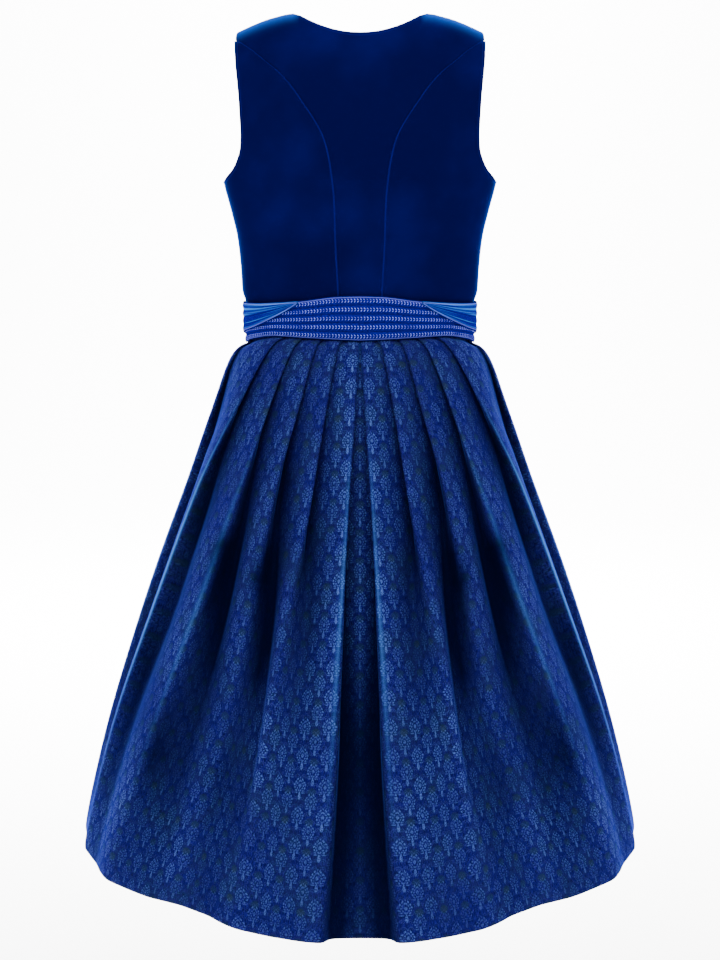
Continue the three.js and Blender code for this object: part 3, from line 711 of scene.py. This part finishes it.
def quarter_ring(pleats, below):
    """One quarter's ring, from the centre to the side: angle, distance out, the part of the pleat
    that it is on, and how dark it falls there (0 to 1)."""
    folds = []
    for pleat in pleats:
        fold = {key: at_stations(row, below) for key, row in pleat.items()}
        fold["open"] = 1 - clamp((fold["valley"] - fold["ridge"]) / CLOSED_OVERLAP)
        folds.append(fold)
    centre_drop = folds[0]["drop"]
    ring = [(0, -centre_drop + CENTRE_HUMP * (centre_drop - FOLD_TURN), "panel")]
    for k, fold in enumerate(folds):
        rise, drop, open_ = fold["rise"], fold["drop"], fold["open"]
        turn_valley, turn_ridge = OPEN_TURN_VALLEY * open_, OPEN_TURN_RIDGE * open_
        ring.append((fold["valley"] - turn_valley, -drop, "valley"))
        ring.append((fold["valley"] + turn_valley, -drop + FOLD_TURN, "under"))
        ring.append((fold["ridge"] - turn_ridge, rise - FOLD_TURN, "turn"))
        ring.append((fold["ridge"] + turn_ridge, rise, "ridge"))
        start = max(fold["ridge"] + turn_ridge, fold["valley"])
        if k == len(folds) - 1:
            ring.append((lerp(start, SIDE_SEAM_FROM, SIDE_PANEL_END * open_), rise, "panel"))
            break
        after = folds[k + 1]
        next_open = after["open"]
        end = min(after["ridge"], after["valley"] - OPEN_TURN_VALLEY * next_open)
        depth = rise + after["drop"]
        fall = depth * lerp(*FALL_START, open_)
        ring.append((lerp(start, end, PANEL_START * open_), rise - fall, "panel"))
        if k == len(folds) - 2:
            fall = depth * lerp(*FALL_MIDWAY, next_open)
            ring.append((lerp(start, end, 0.5), rise - fall, "panel"))
        fall = depth * lerp(*FALL_END, next_open)
        ring.append((lerp(end, start, PANEL_END * next_open), rise - fall, "panel"))
    ring.append((90, ring[-1][1], "panel"))
    strengths = [at_stations(row, below) for row in PLEAT_SHADE]
    fold, in_panel, shaded = -1, 0, []
    for angle, out, kind in ring:
        if kind == "valley":
            fold, in_panel = fold + 1, 0
        in_panel += kind == "panel"
        deep = strengths[fold] if fold > 0 else max(strengths[0], CENTRE_PLEAT_SHADE)
        shade = {"valley": deep, "under": deep, "turn": deep * TURN_SHADE}.get(kind, 0.0)
        if kind == "panel" and fold < len(folds) - 1:
            steps = 3 if fold == len(folds) - 2 else 2
            stage = 0 if in_panel == 1 else 1 if in_panel < steps else 2
            shade = strengths[fold + 1] * PANEL_SHADES[stage]
        if angle == 0:
            shade = at_stations(CENTRE_SHADE, below)
        shade = clamp(shade + marks_at(CREASES, angle, below, CREASE_SHADE))
        shaded.append((angle, out, kind, shade))
    return shaded


def quarter_measure(places, kinds, edges):
    """Distance of each place of a quarter ring from the centre, along the straight-cut cloth: exact
    on each panel from its pleat edge outwards, with what is left over in the hidden return."""
    across = [0.0]
    fold = -1
    for k in range(1, len(places)):
        step = float(np.linalg.norm(places[k] - places[k - 1]))
        if kinds[k] == "turn":
            fold += 1
            across.append(edges[fold] - FOLD_TURN)
        elif kinds[k] == "ridge":
            across.append(edges[fold])
        else:
            across.append(across[-1] + step)
    return across


def both_sides(quarter):
    """A quarter ring's values with their mirror image before them."""
    return [*quarter[:0:-1], *quarter]


def skirt_half(name, pleats, facing):
    rings, measures, shades, ridges, shines = [], [], [], [], []
    edges = None
    for below in SKIRT_RINGS:
        angles, outs, kinds, shade = zip(*quarter_ring(pleats, below))
        roll = HEM_ROLL * ease(below, HEM_ROLL_FROM, SKIRT_LENGTH)
        places = [skirt_place(angle, below, out - roll, facing) for angle, out in zip(angles, outs)]
        # Painted highlight along the pleats' edges, and on the woven figures where SHINE lists it
        glow, glows = at_stations(RIDGE_ALONG, below), iter(RIDGE_GLOW)
        ridge = [glow * next(glows) if kind == "ridge" else 0.0 for kind in kinds]
        shine = [clamp(marks_at(SHINE, angle, below, SHINE_STRENGTH)) for angle in angles]
        shades.append(both_sides(shade))
        ridges.append(both_sides(ridge))
        shines.append(both_sides(shine))
        if edges is None:
            steps = np.linalg.norm(np.diff(places, axis=0), axis=1)
            run = np.concatenate([[0], np.cumsum(steps)])
            edges = [run[k] for k, kind in enumerate(kinds) if kind == "ridge"]
        across = quarter_measure(places, kinds, edges)
        rings.append([place * np.array((-1, 1, 1)) for place in places[:0:-1]] + places)
        measures.append([-a for a in across[:0:-1]] + across)
    grid = np.array(rings)
    if facing > 0:
        grid = grid * np.array((-1, -1, 1))
    down = steps_along(grid[::-1], 0)[::-1].mean(axis=1, keepdims=True)
    cloth_uv = np.stack([np.array(measures), -down.repeat(grid.shape[1], axis=1)], axis=2) * MM
    # The painted fold shade and the painted highlights on the pleats' edges and on the figures
    tones = {"fold": np.array(shades), "ridge": np.array(ridges), "shine": np.array(shines)}
    skirt = lay_cloth(name, grid, cloth_uv, tones)
    finish_cloth(skirt, JACQUARD_THICK, smoothing=1)
    skirt.data.materials.append(jacquard)
    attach(skirt, "root")
    return skirt


# The half-drop repeat in metres, and the colours of the ground, of the woven figures, of the painted
# highlight along the pleats' edges and of the painted shade in the deepest folds. The figures are
# palmettes: dotted arches round a small fan over a bright teardrop stem, on a ground of rising
# scales.
REPEAT_WIDE, REPEAT_HIGH = 0.0300, 0.0330
GROUND_DEEP = (0.0018, 0.0010, 0.023, 1)
GROUND_LIGHT = (0.0090, 0.0066, 0.104, 1)
GROUND_SMOKY = (0.0075, 0.0150, 0.032, 1)
FIGURE_LIGHT = (0.115, 0.235, 0.72, 1)
RIDGE_LIGHT = (0.060, 0.260, 0.78, 1)
FOLD_SHADE_COLOUR = (0.0002, 0.0008, 0.008, 1)
# How far the painted shade darkens the folds, and how much the figures and painted edge highlight
# show
FOLD_SHADE = 0.95
FIGURE_SHOWS, RIDGE_SHOWS = 0.50, 0.45
# The palmette in millimetres: its middle, how far its outer arch reaches sideways and up, how square
# the arches are, and the dots of its outer and inner arch
PALMETTE_MIDDLE, ARCH_WIDE, ARCH_HIGH = 3.4, 6.8, 9.2
ARCH_SQUARE = 1.4
OUTER_DOTS, INNER_DOTS = 12.0, 9.0
# Its stem: how far below the middle, half height, half width and how it widens downwards
STEM_LEVEL, STEM_HALF, STEM_WIDE, STEM_SPREAD = 7.4, 4.8, 1.5, 0.15
# The ground's scales, four to each repeat: half width and height in millimetres, and how they show
SCALES_IN_REPEAT = 4
SCALE_WIDE, SCALE_HIGH, SCALES_SHOW = 3.0, 3.4, 0.22

jacquard_finish = Finish("jacquard")
across, along = jacquard_finish.across_and_along()


def figure_place(wide, high, shift_x=0.0, shift_y=0.0):
    """Millimetres sideways and up from the nearest figure's middle, in a repeat of that size."""
    x = ((across / wide + shift_x).math("FRACT") - 0.5) * (wide / MM)
    y = ((along / high + shift_y).math("FRACT") - 0.5) * (high / MM)
    return x, y


def oval(x, y, wide, high, soft):
    """1 inside an upright oval of the half sizes given."""
    return 1 - ((x / wide) * (x / wide) + (y / high) * (y / high)).rise(1 - soft, 1 + soft)


def palmette(x, y):
    """Two arches of dots about a small fan, with a teardrop stem and two side leaves below."""
    side, up = abs(x), y - PALMETTE_MIDDLE
    turn = up.math("ARCTAN2", side)
    sideways = (side / ARCH_WIDE).math("POWER", ARCH_SQUARE)
    upwards = (abs(up) / ARCH_HIGH).math("POWER", ARCH_SQUARE)
    reach = (sideways + upwards).math("POWER", 1 / ARCH_SQUARE)
    outer = reach.band(1.0, 0.24, 0.07) * (turn * OUTER_DOTS).math("SINE").rise(-0.9, 0.1)
    inner = reach.band(0.62, 0.22, 0.07) * (turn * INNER_DOTS).math("COSINE").rise(-0.9, 0.1)
    fan = (1 - reach.rise(0.20, 0.34)) * 0.7
    foot = y.rise(-3.6, -2.0)
    drop_wide = STEM_WIDE - (y + STEM_LEVEL) * STEM_SPREAD
    stem = oval(side * STEM_WIDE / drop_wide, y + STEM_LEVEL, STEM_WIDE, STEM_HALF, 0.3)
    leaves = oval(side - 4.2, y + 4.4, 2.2, 0.8, 0.3)
    arches = (outer * 0.85).math("MAXIMUM", inner * 0.7).math("MAXIMUM", fan) * foot
    return arches.math("MAXIMUM", stem * 0.85).math("MAXIMUM", leaves * 0.6)


def scales(x, y):
    """The dim ground figure: rows of small rising scales."""
    scale_x, scale_y = x / SCALE_WIDE, y / SCALE_HIGH
    reach = (scale_x * scale_x + scale_y * scale_y).math("SQRT")
    rims = reach.band(1.0, 0.26, 0.12).math("MAXIMUM", reach.band(0.45, 0.22, 0.1))
    return rims * y.rise(-0.8, 0.2)


def woven_noise(across_scale, along_scale, detail=2.0, roughness=0.5, shift=0.0):
    """Noise stretched along the weave: so many grains to the metre each way."""
    place = jacquard_finish.place(across * across_scale, along * along_scale, shift)
    return jacquard_finish.noise(place, 1.0, detail, roughness)


threads = woven_noise(1400, 190, roughness=0.6)
specks = woven_noise(850, 600, detail=1.0, roughness=0.6)
cloud = woven_noise(30, 22)
patches = woven_noise(17, 11, shift=3.0).rise(0.36, 0.66)
tall = palmette(*figure_place(REPEAT_WIDE, REPEAT_HIGH))
between = palmette(*figure_place(REPEAT_WIDE, REPEAT_HIGH, 0.5, 0.5))
small = figure_place(REPEAT_WIDE / SCALES_IN_REPEAT, REPEAT_HIGH / SCALES_IN_REPEAT)
ground_figure = scales(*small) * SCALES_SHOW
# Painted shade: darker beside each pleat's edge, inside the centre pleat and in the creases
painted_fold_shade = jacquard_finish.attribute("fold")
fold = painted_fold_shade * (painted_fold_shade * 0.6 + 0.4)
painted_ridge_highlight = jacquard_finish.attribute("ridge").rise(0.05, 1.0)
# Painted highlight on the figures: brighter in patches and where SHINE lists, dimmer in the painted
# fold shade
catching = (0.22 + patches * 0.28 + jacquard_finish.attribute("shine") * 0.60) * (1 - fold * 0.6)
figures = tall.math("MAXIMUM", between * 0.8).math("MAXIMUM", ground_figure)
smoky_x, smoky_y = figure_place(REPEAT_WIDE, REPEAT_HIGH, 0.5, 0.08)
smoky = oval(smoky_x, smoky_y, 5.0, 4.6, 0.5) * 0.7 + cloud.rise(0.42, 0.72) * 0.45
# Painted glints: bright specks of the weave where the painted highlight falls
glint = specks.rise(0.60, 0.74) * (1 - smoky) * 0.30 * catching
lit = (figures * specks.rise(0.30, 0.60) * catching).math("MAXIMUM", glint)
ground = jacquard_finish.mix(threads.rise(0.32, 0.68), GROUND_DEEP, GROUND_LIGHT)
ground = jacquard_finish.mix(smoky * 0.8, ground, GROUND_SMOKY)
woven = jacquard_finish.mix(lit * FIGURE_SHOWS, ground, FIGURE_LIGHT)
woven = jacquard_finish.mix(painted_ridge_highlight * painted_ridge_highlight * RIDGE_SHOWS, woven, RIDGE_LIGHT)
jacquard_finish.set(
    Base_Color=jacquard_finish.mix(fold * FOLD_SHADE, woven, FOLD_SHADE_COLOUR),
    Roughness=0.55 - lit * 0.12,
    Metallic=lit * 0.25,
    Sheen_Weight=0.30,
    Sheen_Roughness=0.25,
    Sheen_Tint=(0.06, 0.14, 1.0, 1),
    Specular_IOR_Level=0.0,
    Normal=jacquard_finish.bump(threads * 0.4 + lit * 0.9 + specks * 0.3, 0.00012, 0.6),
)
jacquard = jacquard_finish.material

skirt_back = skirt_half("skirt_back_cloth", BACK_PLEATS, -1)
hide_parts("skirt_back")
skirt_front = skirt_half("skirt_front_cloth", FRONT_PLEATS, 1)
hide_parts("skirt_front")


# Sash: a wide satin band wrapped twice round the waist over the waist seam, gathered into soft
# lengthwise folds. Behind, each fold carries a double row of herringbone stitching in light thread,
# and the outer wrap shows plain satin.

SASH_THICK = 1.1 * MM
# The stretch behind: distance outside the waist, how far the folds stand out, folds, and its end.
# The outer wrap: the same, with where it starts and the height at which its folds are full.
UNDER_OUT, UNDER_RELIEF, UNDER_FOLDS, UNDER_TO = 3.9, 1.5, 5, 97
OVER_OUT, OVER_RELIEF, OVER_FOLDS, OVER_FROM, OVER_FULL = 7.0, 1.1, 4, 31.5, 26
# angle from the centre back, level
UNDER_TOP = [(0, -325), (10, -325.7), (29, -331.5), (60, -339), (100, -342)]
OVER_TOP = [(29, -331.5), (45, -334.5), (60, -336.5), (90, -337.5), (180, -334), (200, -334)]
OVER_BOTTOM = [
    (29, -332.5), (43, -350), (58, -362.7), (70, -369.5), (90, -376), (115, -383), (140, -388),
    (200, -389.5),
]
# Where the ends lie in front, and how far and where the left one is lifted over the right
LEFT_END, RIGHT_END, LEFT_LIFT, LIFT_FROM, LIFT_TO = 196, 189, 2.9, 158, 169
# The sash stands off where the bodice widens: from which level, over what height and how far
FLARE_FROM, FLARE_HIGH, FLARE_OUT = -340, 15, 1.2
ROWS_PER_FOLD, UNDER_COLUMNS, OVER_COLUMNS = 8, 160, 140
under_top_at, over_top_at, over_bottom_at = curve(UNDER_TOP), curve(OVER_TOP), curve(OVER_BOTTOM)


def round_waist(angle, level, out, side):
    turn = math.radians(angle)
    half, depth = FIGURE[0][1], FIGURE[0][2]
    normal = np.array((math.sin(turn) / half, -math.cos(turn) / depth))
    flare = clamp((level - FLARE_FROM) / FLARE_HIGH) * FLARE_OUT
    reach = normal / np.linalg.norm(normal) * (out + flare)
    return (side * (half * math.sin(turn) + reach[0]), -depth * math.cos(turn) + reach[1], level)


def fold_relief(share, folds, height):
    return height * abs(math.sin(math.pi * folds * share))


def sash_cloth(name, rows, folds, stitched):
    """A stretch of the sash from its rows of places, stitched where told."""
    grid = np.array(rows, dtype=float)
    run = steps_along(grid, 1)
    if faces_inwards(grid, (len(grid) // 2, grid.shape[1] // 3)):
        grid, run = grid[:, ::-1], run[:, ::-1]
    shares = np.linspace(0, folds, len(grid))[:, None].repeat(grid.shape[1], axis=1)
    cloth_uv = np.stack([run * MM, shares], axis=2)
    rim = near(grid, np.concatenate([grid[0], grid[-1], grid[:, 0], grid[:, -1]]))
    stitches = np.full(grid.shape[:2], float(stitched))
    sash = lay_cloth(name, grid, cloth_uv, {"rim": rim, "stitched": stitches})
    finish_cloth(sash, SASH_THICK)
    sash.data.materials.append(ribbon)
    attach(sash, "root")
    size = (float(run.max()) * MM, float(steps_along(grid, 0).max()) * MM)
    area_of(grid)
    return sash


# Colours of the satin, of the painted shade in its folds and along its edges and the shade between
# its threads, of the painted sheen highlight that runs along the outer wrap, and of the stitches
RIBBON_SATIN = (0.0040, 0.0010, 0.190, 1)
RIBBON_SHADE = (0.0008, 0.0004, 0.055, 1)
RIBBON_SHEEN_STREAK = (0.030, 0.210, 0.72, 1)
STITCH_LIGHT = (0.20, 0.25, 0.88, 1)
# The stitches: metres from one to the next, and, in folds, how far each slants, how far their row
# lies from the fold's crest and how wide it is
STITCH_PITCH = 0.0038
STITCH_SLANT, STITCH_ROW, STITCH_LONG = 2.8, 0.115, 0.145
# The light line along the band's hems, painted as their highlight: how far in it runs and how wide it
# is, in millimetres, and how it shows
RIM_IN, RIM_WIDE, RIM_SHOW = 1.9, 1.0, 0.30
# How strongly the painted sheen streaks show
SHEEN_STREAKS_SHOW = 0.55

ribbon_finish = Finish("ribbon")
length_along, fold_across = ribbon_finish.across_and_along()


def band_noise(along_scale, across_scale, detail=2.0):
    """Noise stretched along the band: so many grains to the metre, and to a fold."""
    place = ribbon_finish.place(length_along * along_scale, fold_across * across_scale)
    return ribbon_finish.noise(place, 1.0, detail)


stitched = ribbon_finish.attribute("stitched")
rim = ribbon_finish.attribute("rim")
from_crest = abs(fold_across.math("FRACT") - 0.5)
chevron = (length_along / STITCH_PITCH + from_crest * STITCH_SLANT).math("FRACT")
worn = band_noise(60, 0.9).rise(0.30, 0.52)
stitch_row = from_crest.band(STITCH_ROW, STITCH_LONG, 0.02) * stitched
stitch = chevron.band(0.5, 0.25, 0.08) * stitch_row * (0.35 + worn * 0.65)
# Painted highlight: a light line just inside the band's edges
stitch = stitch.math("MAXIMUM", rim.band(RIM_IN, RIM_WIDE, 0.35) * RIM_SHOW)
# Painted shade: the satin darker in the valleys between its folds and along its very edges
outside_painted_fold_shade = (0.5 - from_crest).rise(0.0, 0.13)
weave = band_noise(300, 14)
# Painted sheen highlight: light streaks along the plain satin of the outer wrap
sheen_streaks = band_noise(5, 2.6, detail=1.0).rise(0.48, 0.70)
plain = weave.rise(0.3, 0.7) * outside_painted_fold_shade * rim.rise(0.3, 0.9)
satin = ribbon_finish.mix(plain, RIBBON_SHADE, RIBBON_SATIN)
satin = ribbon_finish.mix(sheen_streaks * (1 - stitched) * SHEEN_STREAKS_SHOW, satin, RIBBON_SHEEN_STREAK)
ribbon_finish.set(
    Base_Color=ribbon_finish.mix(stitch, satin, STITCH_LIGHT),
    Roughness=0.40 + stitch * 0.2,
    Sheen_Weight=0.05,
    Sheen_Roughness=0.24,
    Sheen_Tint=(0.05, 0.05, 1.0, 1),
    Specular_IOR_Level=0.0,
    Normal=ribbon_finish.bump(weave * 0.15 + stitch, 0.0002, 0.7),
)
ribbon = ribbon_finish.material

under_rows = []
for j in range(UNDER_FOLDS * ROWS_PER_FOLD + 1):
    share = j / (UNDER_FOLDS * ROWS_PER_FOLD)
    out = UNDER_OUT + fold_relief(share, UNDER_FOLDS, UNDER_RELIEF)
    row = []
    for i in range(UNDER_COLUMNS + 1):
        angle = UNDER_TO * (2 * i / UNDER_COLUMNS - 1)
        level = lerp(sash_lower_at(abs(angle)), under_top_at(abs(angle)), share)
        row.append(round_waist(angle, level, out, 1))
    under_rows.append(row)
sash_back = sash_cloth("sash_back_cloth", under_rows, UNDER_FOLDS, True)
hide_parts("sash_back")

for name, side, end, lift in (("left", -1, LEFT_END, LEFT_LIFT), ("right", 1, RIGHT_END, 0)):
    over_rows = []
    for j in range(OVER_FOLDS * ROWS_PER_FOLD + 1):
        share = j / (OVER_FOLDS * ROWS_PER_FOLD)
        row = []
        for i in range(OVER_COLUMNS + 1):
            angle = lerp(OVER_FROM, end, i / OVER_COLUMNS)
            top, bottom = over_top_at(angle), over_bottom_at(angle)
            relief = fold_relief(share, OVER_FOLDS, OVER_RELIEF * clamp((top - bottom) / OVER_FULL))
            out = OVER_OUT + lift * ease(angle, LIFT_FROM, LIFT_TO) + relief
            row.append(round_waist(angle, lerp(bottom, top, share), out, side))
        over_rows.append(row)
    sash = sash_cloth(f"sash_{name}_cloth", over_rows, OVER_FOLDS, False)
    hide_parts(f"sash_{name}")


# Studio: a pale floor that curves up into a pale backdrop, two wide soft lights in front, one from
# above, two low ones beside the dress that catch the pile at its edges, and one on the backdrop.

# In metres: the floor's level and start, the paper's length laid flat, in the bend and in all, and
# half its width
FLOOR_LEVEL, FLOOR_FROM, FLOOR_RUN, BEND_RUN = -1.5, -5.5, 10.5, 2.5
PAPER_LONG, PAPER_HALF_WIDE, PAPER_STEPS = 17, 9, 80
BEND_RADIUS = BEND_RUN / (math.pi / 2)
bpy.ops.object.select_all(action="DESELECT")
bpy.ops.mesh.primitive_grid_add(x_subdivisions=2, y_subdivisions=PAPER_STEPS, size=2)
floor = bpy.context.object
floor.name = "floor"
for corner in floor.data.vertices:
    run = (corner.co.y + 1) / 2 * PAPER_LONG
    bend = clamp((run - FLOOR_RUN) / BEND_RUN) * math.pi / 2
    straight_up = max(0, run - FLOOR_RUN - BEND_RUN)
    y = FLOOR_FROM + min(run, FLOOR_RUN) + BEND_RADIUS * math.sin(bend)
    z = FLOOR_LEVEL + BEND_RADIUS * (1 - math.cos(bend)) + straight_up
    corner.co = (corner.co.x * PAPER_HALF_WIDE, y, z)
bpy.ops.object.shade_smooth()
paper = Finish("paper")
paper.set(Base_Color=(0.94, 0.94, 0.94, 1), Roughness=0.9)
floor.data.materials.append(paper.material)

SKY_STRENGTH = 0.50
world = bpy.data.worlds.new("studio")
world.use_nodes = True
sky = world.node_tree.nodes["Background"].inputs
sky["Color"].default_value = (1, 1, 1, 1)
sky["Strength"].default_value = SKY_STRENGTH
bpy.context.scene.world = world


def soft_light(name, location, aim, size, power):
    """A rectangular lamp that faces the place aimed at."""
    bpy.ops.object.light_add(type="AREA", location=location)
    lamp = bpy.context.object
    lamp.name = name
    lamp.data.shape = "RECTANGLE"
    lamp.data.size, lamp.data.size_y = size
    lamp.data.energy = power
    direction = np.array(aim) - np.array(location)
    pitch = math.atan2(math.hypot(direction[0], direction[1]), -direction[2])
    lamp.rotation_euler = (pitch, 0, math.atan2(direction[1], direction[0]) - math.pi / 2)


soft_light("key_left", (-1.7, -2.6, 1.3), (0, 0, -0.5), (1.0, 1.2), 62)
soft_light("key_right", (1.7, -2.6, 1.3), (0, 0, -0.5), (1.0, 1.2), 62)
soft_light("top", (0, -1.3, 2.0), (0, 0, -0.5), (1.4, 1.0), 75)
soft_light("edge_left", (-2.3, 0.7, -0.1), (0, 0, -0.4), (1.0, 2.0), 35)
soft_light("edge_right", (2.3, 0.7, -0.1), (0, 0, -0.4), (1.0, 2.0), 35)
soft_light("backdrop", (0, 2.6, 2.4), (0, 5.2, -1.3), (5.0, 2.0), 3400)

# The photo's view: a long lens at chest height, behind the dress and turned down by 9 degrees
CAMERA_PLACE, CAMERA_PITCH = (0, -2.370, -0.188), 81
SENSOR_WIDE, LENS = 36, 70.99
bpy.ops.object.camera_add(location=CAMERA_PLACE, rotation=(math.radians(CAMERA_PITCH), 0, 0))
camera = bpy.context.object
camera.data.sensor_width = SENSOR_WIDE
camera.data.lens = LENS
bpy.context.scene.camera = camera
